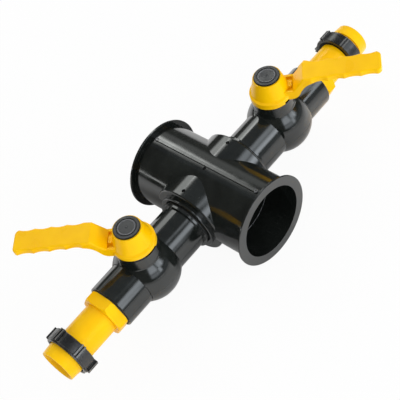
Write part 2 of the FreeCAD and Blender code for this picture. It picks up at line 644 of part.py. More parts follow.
def outlet_connector():
    """Yellow connector: threaded end, hexagon, smooth tube and barbed spigot."""
    body = turned_x([
        (CONNECTOR_START, 0), (CONNECTOR_START, CONNECTOR_THREAD),
        (HEX_START, CONNECTOR_THREAD), (HEX_START + OVERLAP, TUBE_RADIUS),
        (BARB_START, TUBE_RADIUS), (BARB_START, BARB_RADIUS), (SPIGOT_END, SPIGOT_RADIUS), (SPIGOT_END, 0)])
    body = body.fuse(hexagon())
    bore = turned_x([
        (CONNECTOR_START - OVERLAP, 0), (CONNECTOR_START - OVERLAP, CONNECTOR_BORE),
        (SPIGOT_END - SPIGOT_FLARE, CONNECTOR_BORE), (SPIGOT_END, SPIGOT_MOUTH),
        (SPIGOT_END + OVERLAP, SPIGOT_MOUTH), (SPIGOT_END + OVERLAP, 0)])
    return body.cut(bore).removeSplitter()


def connector_seal():
    """Flat rubber ring between the outlet tube and the hexagon."""
    ring = rod(SEAL_RADIUS, OUTLET_END, HEX_START, ALONG_X)
    return ring.cut(rod(OUTLET_THREAD, OUTLET_END, HEX_START, ALONG_X))


def lock_ring(set_back, turn):
    """Ribbed clamp ring that slides along the connector's tube, at rest behind the barb."""
    tube = turned_x([
        (0, TUBE_RADIUS + RING_BACK_GAP), (0, RING_RADIUS - RING_CHAMFER), (RING_CHAMFER, RING_RADIUS),
        (RING_LENGTH - RING_CHAMFER, RING_RADIUS), (RING_LENGTH, RING_RADIUS - RING_CHAMFER),
        (RING_LENGTH, RING_LIP_RADIUS), (RING_LIP_END, RING_LIP_RADIUS), (RING_LIP_END, RING_BORE),
        (RING_BACK_THICK, RING_BORE), (RING_BACK_THICK, TUBE_RADIUS + RING_BACK_GAP)])
    rib_root = (RING_BORE + RING_RADIUS) / 2
    length = RING_LENGTH + RIB_OVERHANG
    ribs = []
    for step in range(RIB_COUNT):
        for side in (-1, 1):
            across = side * RIB_SPACING / 2 - RIB_WIDTH / 2
            corner = Vector(-RIB_OVERHANG, across, rib_root)
            rib = Part.makeBox(length, RIB_WIDTH, RIB_RADIUS - rib_root, corner)
            angle = turn - QUARTER_TURN + FULL_TURN * step / RIB_COUNT
            ribs.append(rib.rotate(CENTRE, ALONG_X, angle))
    ring = tube.fuse(ribs).removeSplitter()
    return ring.translate(ALONG_X * (BARB_START - set_back))


def export(name, shape):
    """Writes one piece, lifted so that the flanges stand on the ground plane."""
    placed = shape.copy()
    placed.translate(ALONG_Z * FLANGE_RADIUS)
    placed.exportStep("parts/" + name + ".step")
    print(name, placed.isValid(), len(placed.Solids), round(placed.Volume))


def export_pair(name, shape):
    """Writes a piece of the right branch and its half-turn copy on the left branch."""
    export("right_" + name, shape)
    export("left_" + name, shape.copy().rotate(CENTRE, ALONG_Z, HALF_TURN))


def main():
    """Builds and writes every piece."""
    export("cross_body", cross_body())
    pairs = {
        "inlet_gasket": inlet_gasket(), "valve_body": valve_body(), "valve_end": valve_end(),
        "inner_seat": seat(-1), "outer_seat": seat(1), "ball": ball(), "stem": stem(),
        "stem_seals": stem_seals(), "handle": handle(), "handle_screw": handle_screw(),
        "handle_cap": handle_cap(), "outlet_connector": outlet_connector(),
        "connector_seal": connector_seal()}
    for name, shape in pairs.items():
        export_pair(name, shape)
    export("right_lock_ring", lock_ring(RING_SET_BACKS["right"], RING_TURNS["right"]))
    left_ring = lock_ring(RING_SET_BACKS["left"], HALF_TURN - RING_TURNS["left"])
    export("left_lock_ring", left_ring.rotate(CENTRE, ALONG_Z, HALF_TURN))


main()
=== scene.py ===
import json
import math

import bmesh
import bpy
from mathutils import Matrix, Vector


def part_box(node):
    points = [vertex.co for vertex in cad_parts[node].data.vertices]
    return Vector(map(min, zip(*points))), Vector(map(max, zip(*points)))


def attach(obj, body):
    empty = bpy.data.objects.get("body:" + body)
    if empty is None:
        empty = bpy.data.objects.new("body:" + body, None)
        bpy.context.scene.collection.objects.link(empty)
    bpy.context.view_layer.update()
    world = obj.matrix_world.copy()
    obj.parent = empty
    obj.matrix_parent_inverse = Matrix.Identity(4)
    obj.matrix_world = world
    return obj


# Irrigation hose cross with two ball valves: materials, fine moulded details, light and camera.
# Lengths are in metres, in the frame of the solids: X along the branches, Y along the run, Z up.
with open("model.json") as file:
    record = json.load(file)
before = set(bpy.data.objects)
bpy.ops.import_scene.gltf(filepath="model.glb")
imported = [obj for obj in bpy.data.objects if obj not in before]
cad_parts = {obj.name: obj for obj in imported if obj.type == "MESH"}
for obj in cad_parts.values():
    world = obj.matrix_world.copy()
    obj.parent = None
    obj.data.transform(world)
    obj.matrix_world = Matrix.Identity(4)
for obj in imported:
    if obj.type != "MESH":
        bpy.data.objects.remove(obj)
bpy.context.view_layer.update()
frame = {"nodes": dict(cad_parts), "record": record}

MM = 0.001
AXIS_HEIGHT = 42.4 * MM
FULL_TURN = math.tau
HALF_CIRCLE = 180.0
SIDES = {"right": 1, "left": -1}

# Sizes of the fine pieces and marks, and of the solids that they lie on
BALL_X = 93.3 * MM
CAP_TOP = AXIS_HEIGHT + 59.6 * MM
CAP_BEAD_RADIUS = 7.4 * MM
CAP_BEAD_WIDTH = 1.1 * MM
CAP_BEAD_HEIGHT = 0.3 * MM
CAP_BEAD_STEPS = 96
CAP_NUB_RADIUS = 1.1 * MM
CAP_NUB_HEIGHT = 0.3 * MM
CAP_NUB_ANGLES = (0.0, 0.4, 0.8, 1.2, 1.5)
CAP_NUB_STEPS = 32
CAP_GROOVE_RADIUS = 8.6 * MM
CAP_GROOVE_HALF = 0.45 * MM
CAP_GROOVE_FADE = 0.15 * MM
CAP_RIM_RADIUS = 11.0 * MM
CAP_RIM_FADE = 0.25 * MM
PIT_RADIUS = 1.5 * MM
PIT_FADE = 0.3 * MM
PAD_PIT_PLACE = (30.0 * MM, 0.0, AXIS_HEIGHT + 35.0 * MM)
RUN_PIT_PLACE = (-3.2 * MM, -1.8 * MM, AXIS_HEIGHT + 36.9 * MM)
RING_BORE = 18.4 * MM
RING_BORE_REACH = 0.3 * MM
RIB_TIP_RADIUS = 23.2 * MM
RIB_TIP_REACH = 0.4 * MM
RING_THREAD_START = 3.4 * MM
RING_THREAD_END = 12.2 * MM
RING_THREAD_PITCH = 2.6 * MM
RING_THREAD_HEIGHT = 0.8 * MM
RING_THREAD_WIDTH = 1.1 * MM
RING_THREAD_STEPS = 64
# The thread rises over a fourteenth of its run at each end, from this share of its width
RING_THREAD_RUNOUT = 14.0
RING_THREAD_THIN = 0.3
INLET_RADIUS = 22.5 * MM
INLET_START = 43.7 * MM
OUTLET_RADIUS = 22.1 * MM
OUTLET_END = 139.6 * MM
BULGE_RADIUS = 29.8 * MM
BULGE_STEPS = 40
SEAM_HEIGHT = 0.12 * MM
SEAM_WIDTH = 0.5 * MM
SEAM_SINK = 0.1 * MM
SMALL_BITE = 0.05 * MM
BEAD_POINTS = 7
FINE_BEAD_POINTS = 5
RUN_BORE = 33.5 * MM
RUN_BEAD_TOP = 38.4 * MM
PIP_PLACE = 57.4 * MM
PIP_RADIUS = 1.35 * MM
PIP_WIDTH = 0.95 * MM
PIP_HEIGHT = 0.45 * MM
PIP_SINK = 1.1 * MM
PIP_STEPS = 48
BORE_LINE_PLACE = 31.0 * MM
BORE_LINE_WIDTH = 0.5 * MM
BORE_LINE_HEIGHT = 0.15 * MM
BORE_LINE_STEPS = 128
END_SIGNS = {"front": -1, "back": 1}

# Shared effects: noise scales are per metre, and each pair is a range that is spread from 0 to 1
EDGE_WIDTH = 0.6 * MM
EDGE_BREAK_SCALE = 260.0
EDGE_TURN = (0.02, 0.22)
EDGE_BREAKS = (0.35, 0.62)
SCUFF_STRETCHES = ((1900.0, 90.0, 120.0), (110.0, 1700.0, 130.0))
SCUFF_TURNS = ((0.3, 0.5, 0.6), (0.7, 0.2, -0.4))
SCUFF_LINES = ((0.66, 0.74), (0.67, 0.75))
SCUFF_PATCH_SCALE = 48.0
SCUFF_PATCHES = (0.45, 0.66)
DUST_SLOPE = (0.2, 1.0)
DUST_CLOUD_SCALE = 130.0
DUST_CLOUDS = (0.4, 0.75)
SHADE_SPREAD = (0.3, 0.7)
GLOSS_SPREAD = (0.25, 0.75)
GRAIN_SPREAD = (0.2, 0.8)
SCUFF_ROUGHNESS = 0.3
DUST_ROUGHNESS = 0.35
PLAIN_SHINE = 0.5

# Painted shade and painted highlight: colours, then the shares of a mask's depth and of the shine
# that it takes away
PAINTED_SHADE_BLACK = (0.004, 0.004, 0.004)
CAP_PAINTED_SHADE = 0.9
CAP_SHADE_DULL = 0.6
PIT_SHADE_DULL = 0.85
RING_BORE_SHADE_DULL = 0.9
RIB_TIP_HIGHLIGHT_GREY = (0.16, 0.16, 0.155)
RIB_TIP_HIGHLIGHT = 0.55


class Wiring:
    """Adds and joins the nodes of one shader tree."""

    def __init__(self, tree):
        self.tree = tree

    def join(self, node, name, value):
        """Sets an input, by name or number, to a value or to another node's output."""
        socket = node.inputs[name]
        if isinstance(value, bpy.types.NodeSocket):
            self.tree.links.new(value, socket)
        else:
            socket.default_value = value

    def add(self, kind, settings=None, inputs=None):
        """Makes a node with plain settings and inputs."""
        node = self.tree.nodes.new("ShaderNode" + kind)
        for name, value in (settings or {}).items():
            setattr(node, name, value)
        for name, value in (inputs or {}).items():
            self.join(node, name, value)
        return node

    def maths(self, operation, first, second=0.0, clamp=False):
        """A sum, product or other operation on two values."""
        settings = {"operation": operation, "use_clamp": clamp}
        return self.add("Math", settings, {0: first, 1: second}).outputs[0]

    def spread(self, value, low, high, start=0.0, end=1.0):
        """Maps a value from one range onto another, clamped."""
        inputs = {"Value": value, "From Min": low, "From Max": high, "To Min": start, "To Max": end}
        return self.add("MapRange", None, inputs).outputs["Result"]

    def blend(self, factor, first, second):
        """Mixes two colours."""
        return self.add("Mix", {"data_type": "RGBA"}, {0: factor, 6: first, 7: second}).outputs[2]

    def vector(self, operation, first, second=None):
        """Outputs of an operation on one or two vectors."""
        inputs = {0: first} if second is None else {0: first, 1: second}
        return self.add("VectorMath", {"operation": operation}, inputs).outputs

    def parted(self, vector):
        """The X, Y and Z of a vector."""
        return self.add("SeparateXYZ", None, {0: vector}).outputs

    def reach(self, first, second):
        """Distance from an axis, worked out from the two offsets across it."""
        across = self.add("CombineXYZ", None, {"X": first, "Y": second}).outputs[0]
        return self.vector("LENGTH", across)["Value"]

    def fade(self, value, edge, width, start=1.0, end=0.0):
        """One share up to an edge, which turns into another over a width beyond it."""
        return self.spread(value, edge, edge + width, start, end)

    def bump(self, strength, height, under=None):
        """Normals of a height of up to a millimetre, laid over those of another bump."""
        inputs = {"Strength": strength, "Distance": MM, "Height": height}
        if under is not None:
            inputs["Normal"] = under
        return self.add("Bump", None, inputs).outputs[0]

    def object_place(self):
        """Object coordinates."""
        return self.add("TexCoord").outputs["Object"]

    def noise(self, place, scale, detail=2.0, roughness=0.5):
        """Cloudy noise from 0 to 1."""
        inputs = {"Vector": place, "Scale": scale, "Detail": detail, "Roughness": roughness}
        return self.add("TexNoise", None, inputs).outputs["Fac"]

    def stretched(self, scale, turn=(0.0, 0.0, 0.0)):
        """Object coordinates, scaled and turned."""
        inputs = {"Vector": self.object_place(), "Scale": scale, "Rotation": turn}
        return self.add("Mapping", None, inputs).outputs[0]

    def effect(self, group, **values):
        """Places one of the shared effects with its own values, and returns its outputs."""
        node = self.add("Group", {"node_tree": group})
        for name, value in values.items():
            self.join(node, name.replace("_", " "), value)
        return node.outputs


def new_group(name, inputs, outputs):
    """An empty shader group with named values in and out."""
    tree = bpy.data.node_groups.new(name, "ShaderNodeTree")
    for label, value in inputs.items():
        socket = tree.interface.new_socket(label, in_out="INPUT", socket_type="NodeSocketFloat")
        socket.default_value = value
    for label in outputs:
        tree.interface.new_socket(label, in_out="OUTPUT", socket_type="NodeSocketFloat")
    entry = tree.nodes.new("NodeGroupInput").outputs
    end = tree.nodes.new("NodeGroupOutput")
    return tree, Wiring(tree), entry, end


def make_moulded_skin():
    """Fine orange peel and slow waves, as on a moulded wall."""
    tree, wiring, entry, end = new_group(
        "moulded skin", {"Peel Scale": 900.0, "Wave Scale": 70.0}, ("Peel", "Wave"))
    place = wiring.object_place()
    wiring.join(end, "Peel", wiring.noise(place, entry["Peel Scale"], detail=3.0))
    wiring.join(end, "Wave", wiring.noise(place, entry["Wave Scale"], detail=1.5, roughness=0.4))
    return tree


def make_edge_wear():
    """Mask of the outer and inner edges, broken up by noise."""
    tree, wiring, entry, end = new_group("edge wear", {"Width": EDGE_WIDTH}, ("Edge",))
    rounded = wiring.add("Bevel", {"samples": 4}, {"Radius": entry["Width"]}).outputs[0]
    true_normal = wiring.add("NewGeometry").outputs["Normal"]
    likeness = wiring.vector("DOT_PRODUCT", rounded, true_normal)["Value"]
    mask = wiring.spread(wiring.maths("SUBTRACT", 1.0, likeness), *EDGE_TURN)
    cloud = wiring.noise(wiring.object_place(), EDGE_BREAK_SCALE, detail=3.0)
    broken = wiring.spread(cloud, *EDGE_BREAKS)
    wiring.join(end, "Edge", wiring.maths("MULTIPLY", mask, broken))
    return tree


def make_scuffs():
    """Mask of fine handling scratches in two directions, gathered in patches."""
    tree, wiring, entry, end = new_group("scuffs", {"Amount": 0.5}, ("Scuff",))
    scratches = [wiring.spread(wiring.noise(wiring.stretched(scale, turn), 1.0), *lines)
                 for scale, turn, lines in zip(SCUFF_STRETCHES, SCUFF_TURNS, SCUFF_LINES)]
    cloud = wiring.noise(wiring.object_place(), SCUFF_PATCH_SCALE)
    patches = wiring.spread(cloud, *SCUFF_PATCHES)
    gathered = wiring.maths("MULTIPLY", wiring.maths("MAXIMUM", *scratches), patches)
    wiring.join(end, "Scuff", wiring.maths("MULTIPLY", gathered, entry["Amount"]))
    return tree


def make_dust_film():
    """Mask of a thin film of dust that lies on upward faces."""
    tree, wiring, entry, end = new_group("dust film", {"Amount": 0.3}, ("Dust",))
    normal = wiring.add("NewGeometry").outputs["Normal"]
    lying = wiring.spread(wiring.parted(normal)["Z"], *DUST_SLOPE)
    cloud = wiring.noise(wiring.object_place(), DUST_CLOUD_SCALE, detail=4.0, roughness=0.65)
    film = wiring.maths("MULTIPLY", lying, wiring.spread(cloud, *DUST_CLOUDS))
    wiring.join(end, "Dust", wiring.maths("MULTIPLY", film, entry["Amount"]))
    return tree


MOULDED_SKIN = make_moulded_skin()
EDGE_WEAR = make_edge_wear()
SCUFFS = make_scuffs()
DUST_FILM = make_dust_film()


def main_shader(material):
    """The surface shader that a new material comes with."""
    return next(node for node in material.node_tree.nodes if node.type == "BSDF_PRINCIPLED")


def new_material(name):
    """A material with its wiring and its main shader."""
    material = bpy.data.materials.new(name)
    material.use_nodes = True
    return material, Wiring(material.node_tree), main_shader(material)


def opaque(colour):
    """A colour as a shader socket takes it."""
    return (*colour, 1.0)


def tint_where(material, wiring, mask, colour):
    """Blends a colour over a material's own one where a mask lies."""
    shader = main_shader(material)
    own = shader.inputs["Base Color"].links[0].from_socket
    wiring.join(shader, "Base Color", wiring.blend(mask, own, opaque(colour)))


def moulded_plastic(name, deep, pale, worn, gloss, peel, wave, edge, scuff, dust,
                    edge_width=EDGE_WIDTH, shine=PLAIN_SHINE):
    """Moulded plastic: two close shades, worn edges, scuffs, dust and a rippled skin."""
    material, wiring, shader = new_material(name)
    peel_scale, peel_depth = peel
    wave_scale, wave_depth = wave
    skin = wiring.effect(MOULDED_SKIN, Peel_Scale=peel_scale, Wave_Scale=wave_scale)
    edges = wiring.effect(EDGE_WEAR, Width=edge_width)["Edge"]
    marks = wiring.effect(SCUFFS, Amount=scuff)["Scuff"]
    film = wiring.effect(DUST_FILM, Amount=dust)["Dust"]
    shade = wiring.spread(skin["Wave"], *SHADE_SPREAD)
    colour = wiring.blend(shade, opaque(deep), opaque(pale))
    wear = wiring.maths("MAXIMUM", wiring.maths("MULTIPLY", edges, edge), marks)
    colour = wiring.blend(wiring.maths("MAXIMUM", wear, film), colour, opaque(worn))
    wiring.join(shader, "Base Color", colour)
    rough = wiring.spread(skin["Wave"], *GLOSS_SPREAD, *gloss)
    rough = wiring.maths("ADD", rough, wiring.maths("MULTIPLY", marks, SCUFF_ROUGHNESS))
    rough = wiring.maths("ADD", rough, wiring.maths("MULTIPLY", film, DUST_ROUGHNESS), clamp=True)
    wiring.join(shader, "Roughness", rough)
    shader.inputs["Specular IOR Level"].default_value = shine
    fine = wiring.bump(peel_depth, skin["Peel"])
    wiring.join(shader, "Normal", wiring.bump(wave_depth, skin["Wave"], fine))
    return material


def paint_shade(material, wiring, mask, dull):
    """Darkens a material where a mask lies, as painted shade, and takes a share of its shine away
    there.
    """
    tint_where(material, wiring, mask, PAINTED_SHADE_BLACK)
    shader = main_shader(material)
    shine = shader.inputs["Specular IOR Level"].default_value
    dulled = wiring.spread(mask, 0.0, 1.0, shine, shine * (1.0 - dull))
    wiring.join(shader, "Specular IOR Level", dulled)
    return material


def shade_painted_on_cap(material):
    """Painted shade, dark and dull, in the cap's ring groove and round its rim, measured from either
    stem's axis.
    """
    wiring = Wiring(material.node_tree)
    place = wiring.parted(wiring.object_place())
    aside = wiring.maths("SUBTRACT", wiring.maths("ABSOLUTE", place["X"]), BALL_X)
    radius = wiring.reach(aside, place["Y"])
    away = wiring.maths("ABSOLUTE", wiring.maths("SUBTRACT", radius, CAP_GROOVE_RADIUS))
    groove = wiring.fade(away, CAP_GROOVE_HALF, CAP_GROOVE_FADE, CAP_PAINTED_SHADE, 0.0)
    rim = wiring.fade(radius, CAP_RIM_RADIUS, CAP_RIM_FADE, 0.0, CAP_PAINTED_SHADE)
    return paint_shade(material, wiring, wiring.maths("MAXIMUM", groove, rim), CAP_SHADE_DULL)


def shade_painted_in_pits(material):
    """Painted shade, dark and dull, at the bottom of the small mould pits on the pads and beside the
    bead.
    """
    wiring = Wiring(material.node_tree)
    spot = wiring.object_place()
    mirrored = wiring.vector("ABSOLUTE", spot)["Vector"]
    pit_shade = [wiring.fade(wiring.vector("DISTANCE", place, pit)["Value"], PIT_RADIUS, PIT_FADE)
            for place, pit in ((mirrored, PAD_PIT_PLACE), (spot, RUN_PIT_PLACE))]
    return paint_shade(material, wiring, wiring.maths("MAXIMUM", *pit_shade), PIT_SHADE_DULL)


def lock_ring_painted_light(material):
    """Painted highlight on the rib tips, a lighter grey, and painted shade in the bore, darker and
    duller, both measured from the branch axis.
    """
    wiring = Wiring(material.node_tree)
    place = wiring.parted(wiring.object_place())
    radius = wiring.reach(place["Y"], wiring.maths("SUBTRACT", place["Z"], AXIS_HEIGHT))
    highlit_tips = wiring.fade(radius, RIB_TIP_RADIUS, RIB_TIP_REACH, 0.0, RIB_TIP_HIGHLIGHT)
    tint_where(material, wiring, highlit_tips, RIB_TIP_HIGHLIGHT_GREY)
    shaded_bore = wiring.fade(radius, RING_BORE, RING_BORE_REACH)
    return paint_shade(material, wiring, shaded_bore, RING_BORE_SHADE_DULL)


def rubber(name, deep, pale, dusty, rough, grain):
    """Soft rubber with a dusty, grained skin."""
    material, wiring, shader = new_material(name)
    grain_scale, grain_depth, shade_scale = grain
    skin = wiring.effect(MOULDED_SKIN, Peel_Scale=grain_scale, Wave_Scale=shade_scale)
    film = wiring.effect(DUST_FILM)["Dust"]
    colour = wiring.blend(skin["Wave"], opaque(deep), opaque(pale))
    wiring.join(shader, "Base Color", wiring.blend(film, colour, opaque(dusty)))
    wiring.join(shader, "Roughness", wiring.spread(skin["Peel"], *GRAIN_SPREAD, *rough))
    wiring.join(shader, "Normal", wiring.bump(grain_depth, skin["Peel"]))
    return material


def turned_steel(name, deep, pale, worn, rough, rings, stain_scale, edge_width):
    """Plain steel with fine turning rings and a little staining."""
    material, wiring, shader = new_material(name)
    ring_scale, ring_depth = rings
    turning = wiring.noise(wiring.stretched(ring_scale), 1.0)
    skin = wiring.effect(MOULDED_SKIN, Wave_Scale=stain_scale)
    edges = wiring.effect(EDGE_WEAR, Width=edge_width)["Edge"]
    colour = wiring.blend(skin["Wave"], opaque(deep), opaque(pale))
    wiring.join(shader, "Base Color", wiring.blend(edges, colour, opaque(worn)))
    shader.inputs["Metallic"].default_value = 1.0
    wiring.join(shader, "Roughness", wiring.spread(turning, *GRAIN_SPREAD, *rough))
    wiring.join(shader, "Normal", wiring.bump(ring_depth, turning))
    return material


# Each plastic's deep, pale and worn colours, then its range of roughness, the scale and depth of
# its orange peel and of its waves, and how much its edges, scuffs and dust show
MATERIALS = {
    # The black moulding takes painted shade in its small pits
    "black_plastic": shade_painted_in_pits(moulded_plastic(
        "glossy_black_moulding", (0.0055, 0.0068, 0.0062), (0.0095, 0.0115, 0.0105),
        (0.08, 0.085, 0.08), gloss=(0.09, 0.17), peel=(700.0, 0.012), wave=(55.0, 0.12),
        edge=0.5, scuff=0.3, dust=0.07)),
    # The ring takes a painted highlight on its rib tips and painted shade in its bore
    "ring_plastic": lock_ring_painted_light(moulded_plastic(
        "satin_black_ring", (0.008, 0.0082, 0.0085), (0.014, 0.0142, 0.0145), (0.16, 0.16, 0.16),
        gloss=(0.24, 0.36), peel=(1100.0, 0.03), wave=(130.0, 0.3), edge=0.7, scuff=0.3, dust=0.08,
        edge_width=0.5 * MM)),
    "yellow_plastic": moulded_plastic(
        "glossy_yellow_moulding", (0.94, 0.51, 0.0005), (1.0, 0.58, 0.001), (1.0, 0.66, 0.02),
        gloss=(0.24, 0.36), peel=(800.0, 0.02), wave=(60.0, 0.1), edge=0.35, scuff=0.25, dust=0.03,
        shine=0.16),
    # The cap takes painted shade in its ring groove and round its rim
    "cap_plastic": shade_painted_on_cap(moulded_plastic(
        "satin_grey_cap", (0.011, 0.0115, 0.0125), (0.02, 0.021, 0.0225), (0.075, 0.077, 0.082),
        gloss=(0.3, 0.4), peel=(1500.0, 0.06), wave=(150.0, 0.05), edge=0.2, scuff=0.8, dust=0.55)),
    # A lighter grey that stands as a painted highlight on the cap's bead, the bore lines and the
    # bead's pips
    "painted_highlight_grey": moulded_plastic(
        "painted_highlight_grey_moulding", (0.09, 0.093, 0.1), (0.13, 0.134, 0.144), (0.3, 0.3, 0.31),
        gloss=(0.3, 0.4), peel=(1500.0, 0.06), wave=(420.0, 0.1), edge=0.6, scuff=0.8, dust=0.2),
    "seat_plastic": moulded_plastic(
        "waxy_white_seat", (0.74, 0.74, 0.71), (0.82, 0.82, 0.79), (0.6, 0.6, 0.56),
        gloss=(0.35, 0.45), peel=(900.0, 0.02), wave=(80.0, 0.05), edge=0.2, scuff=0.3, dust=0.05),
    "ball_plastic": moulded_plastic(
        "polished_ball", (0.018, 0.019, 0.019), (0.028, 0.029, 0.029), (0.12, 0.12, 0.12),
        gloss=(0.05, 0.1), peel=(900.0, 0.005), wave=(60.0, 0.03), edge=0.3, scuff=0.3, dust=0.02),
    "seal_rubber": rubber(
        "seal_rubber_skin", (0.006, 0.006, 0.006), (0.016, 0.016, 0.016), (0.1, 0.1, 0.095),
        rough=(0.55, 0.75), grain=(2400.0, 0.2, 160.0)),
    "screw_steel": turned_steel(
        "turned_screw_steel", (0.36, 0.35, 0.33), (0.6, 0.6, 0.6), (0.78, 0.78, 0.78),
        rough=(0.22, 0.45), rings=((60.0, 60.0, 9000.0), 0.15), stain_scale=400.0,
        edge_width=0.3 * MM),
}


def dress(thing, look):
    """Gives an object one of the materials."""
    thing.data.materials.clear()
    thing.data.materials.append(MATERIALS[look])


def dress_solids():
    """Gives every solid its material."""
    for part in frame["record"]["subparts"]:
        dress(frame["nodes"][part["node"]], part["material_slot"])


def new_piece(name, mesh_data, slot, body, look=None):
    """Makes a piece from a filled bmesh that rides on a body; its look is its slot's, or its own."""
    bmesh.ops.recalc_face_normals(mesh_data, faces=mesh_data.faces)
    mesh = bpy.data.meshes.new(name)
    mesh_data.to_mesh(mesh)
    mesh_data.free()
    mesh.shade_smooth()
    piece = bpy.data.objects.new(name, mesh)
    bpy.context.scene.collection.objects.link(piece)
    dress(piece, look or slot)
    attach(piece, body)


def loft(mesh_data, rows, closed_rows=True, closed_ends=False):
    """Joins rows of points into a skin; closes it on itself, or caps its ends."""
    rings = [[mesh_data.verts.new(point) for point in row] for row in rows]
    pairs = list(zip(rings[:-1], rings[1:]))
    if closed_rows:
        pairs.append((rings[-1], rings[0]))
    for first, second in pairs:
        count = len(first)
        for step in range(count):
            after = (step + 1) % count
            mesh_data.faces.new((first[step], first[after], second[after], second[step]))
    if closed_ends:
        mesh_data.faces.new(rings[0])
        mesh_data.faces.new(list(reversed(rings[-1])))


def turned_about_z(profile, centre, steps):
    """Rows of a closed (radius, height) profile carried round a vertical axis."""
    rows = []
    for step in range(steps):
        angle = FULL_TURN * step / steps
        outward = Vector((math.cos(angle), math.sin(angle), 0.0))
        rows.append([centre + outward * radius + Vector((0.0, 0.0, height))
                     for radius, height in profile])
    return rows


def half_round(width, height, sink, points=BEAD_POINTS):
    """Closed (across, up) profile of a low rounded bead whose foot is sunk."""
    arc = []
    for step in range(points):
        angle = math.pi * step / (points - 1)
        arc.append((width / 2 * math.cos(angle), height * math.sin(angle)))
    return arc + [(-width / 2, -sink), (width / 2, -sink)]


def cap_bead(side):
    """Raised ring on the cap, just inside its groove, with the gate nub at its centre."""
    centre = Vector((SIDES[side] * BALL_X, 0.0, CAP_TOP))
    mesh_data = bmesh.new()
    bead = [(CAP_BEAD_RADIUS + across, up)
            for across, up in half_round(CAP_BEAD_WIDTH, CAP_BEAD_HEIGHT, SMALL_BITE)]
    loft(mesh_data, turned_about_z(bead, centre, CAP_BEAD_STEPS))
    # The bead is drawn in a lighter grey, a painted highlight
    new_piece(side + "_cap_bead", mesh_data, "cap_plastic", side + "_spindle", "painted_highlight_grey")
    mesh_data = bmesh.new()
    nub = [(CAP_NUB_RADIUS * math.cos(angle), CAP_NUB_HEIGHT * math.sin(angle))
           for angle in CAP_NUB_ANGLES]
    rows = turned_about_z([(CAP_NUB_RADIUS, -SMALL_BITE)] + nub, centre, CAP_NUB_STEPS)
    levels = list(zip(*rows))
    loft(mesh_data, levels, closed_rows=False, closed_ends=True)
    new_piece(side + "_cap_gate_nub", mesh_data, "cap_plastic", side + "_spindle")


def beside_branch(side, along, offset):
    """Point at an offset from the branch axis, turned half round for the left side."""
    return Vector((along * SIDES[side], offset.y * SIDES[side], offset.z + AXIS_HEIGHT))


def ring_thread(side):
    """Inner screw thread of the lock ring, measured from the ring's back end."""
    mesh_data = bmesh.new()
    low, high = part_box(side + "_lock_ring")
    back = min(abs(low[0]), abs(high[0]))
    length = RING_THREAD_END - RING_THREAD_START
    turns = length / RING_THREAD_PITCH
    steps = round(turns * RING_THREAD_STEPS)
    rows = []
    for step in range(steps + 1):
        share = step / steps
        angle = FULL_TURN * turns * share
        full = min(1.0, RING_THREAD_RUNOUT * share, RING_THREAD_RUNOUT * (1.0 - share))
        width = RING_THREAD_THIN + (1.0 - RING_THREAD_THIN) * full
        along = back + RING_THREAD_START + length * share
        outward = Vector((0.0, math.cos(angle), math.sin(angle)))
        row = []
        for across, up in half_round(RING_THREAD_WIDTH, RING_THREAD_HEIGHT, SMALL_BITE):
            radius = RING_BORE - (up * full if up > 0 else up)
            row.append(beside_branch(side, along + across * width, outward * radius))
        rows.append(row)
    loft(mesh_data, rows, closed_rows=False, closed_ends=True)
    new_piece(side + "_lock_ring_thread", mesh_data, "ring_plastic", side + "_lock_ring_body")


def branch_outline():
    """(along, radius) stations of the valve's outside, from the shoulder to the outlet's end."""
    inlet_meet = BALL_X - math.sqrt(BULGE_RADIUS ** 2 - INLET_RADIUS ** 2)
    outlet_meet = BALL_X + math.sqrt(BULGE_RADIUS ** 2 - OUTLET_RADIUS ** 2)
    stations = [(INLET_START, INLET_RADIUS), (inlet_meet, INLET_RADIUS)]
    start = math.acos((inlet_meet - BALL_X) / BULGE_RADIUS)
    end = math.acos((outlet_meet - BALL_X) / BULGE_RADIUS)
    for step in range(1, BULGE_STEPS):
        angle = start + (end - start) * step / BULGE_STEPS
        stations.append((BALL_X + BULGE_RADIUS * math.cos(angle), BULGE_RADIUS * math.sin(angle)))
    return stations + [(outlet_meet, OUTLET_RADIUS), (OUTLET_END, OUTLET_RADIUS)]


def parting_line(side, turn, name):
    """Thin mould line that follows the valve's outside along one side."""
    mesh_data = bmesh.new()
    outward = Vector((0.0, math.cos(turn), math.sin(turn)))
    sideways = Vector((0.0, -math.sin(turn), math.cos(turn)))
    seam = half_round(SEAM_WIDTH, SEAM_HEIGHT, SEAM_SINK, FINE_BEAD_POINTS)
    rows = [[beside_branch(side, along, outward * (radius + up) + sideways * across)
             for across, up in seam] for along, radius in branch_outline()]
    loft(mesh_data, rows, closed_rows=False, closed_ends=True)
    new_piece(name, mesh_data, "black_plastic", "manifold")


def bore_line(end):
    """Thin ring left by the core's joint on the wall of the run's bore."""
    mesh_data = bmesh.new()
    line = half_round(BORE_LINE_WIDTH, BORE_LINE_HEIGHT, SMALL_BITE, FINE_BEAD_POINTS)
    foot = Vector((0.0, END_SIGNS[end] * BORE_LINE_PLACE, AXIS_HEIGHT))
    rows = []
    for step in range(BORE_LINE_STEPS):
        angle = FULL_TURN * step / BORE_LINE_STEPS
        outward = Vector((math.cos(angle), 0.0, math.sin(angle)))
        rows.append([foot + outward * (RUN_BORE - up) + Vector((0.0, across, 0.0))
                     for across, up in line])
    loft(mesh_data, rows)
    # The line is drawn in a lighter grey, a painted highlight
    new_piece(end + "_bore_line", mesh_data, "black_plastic", "manifold", "painted_highlight_grey")


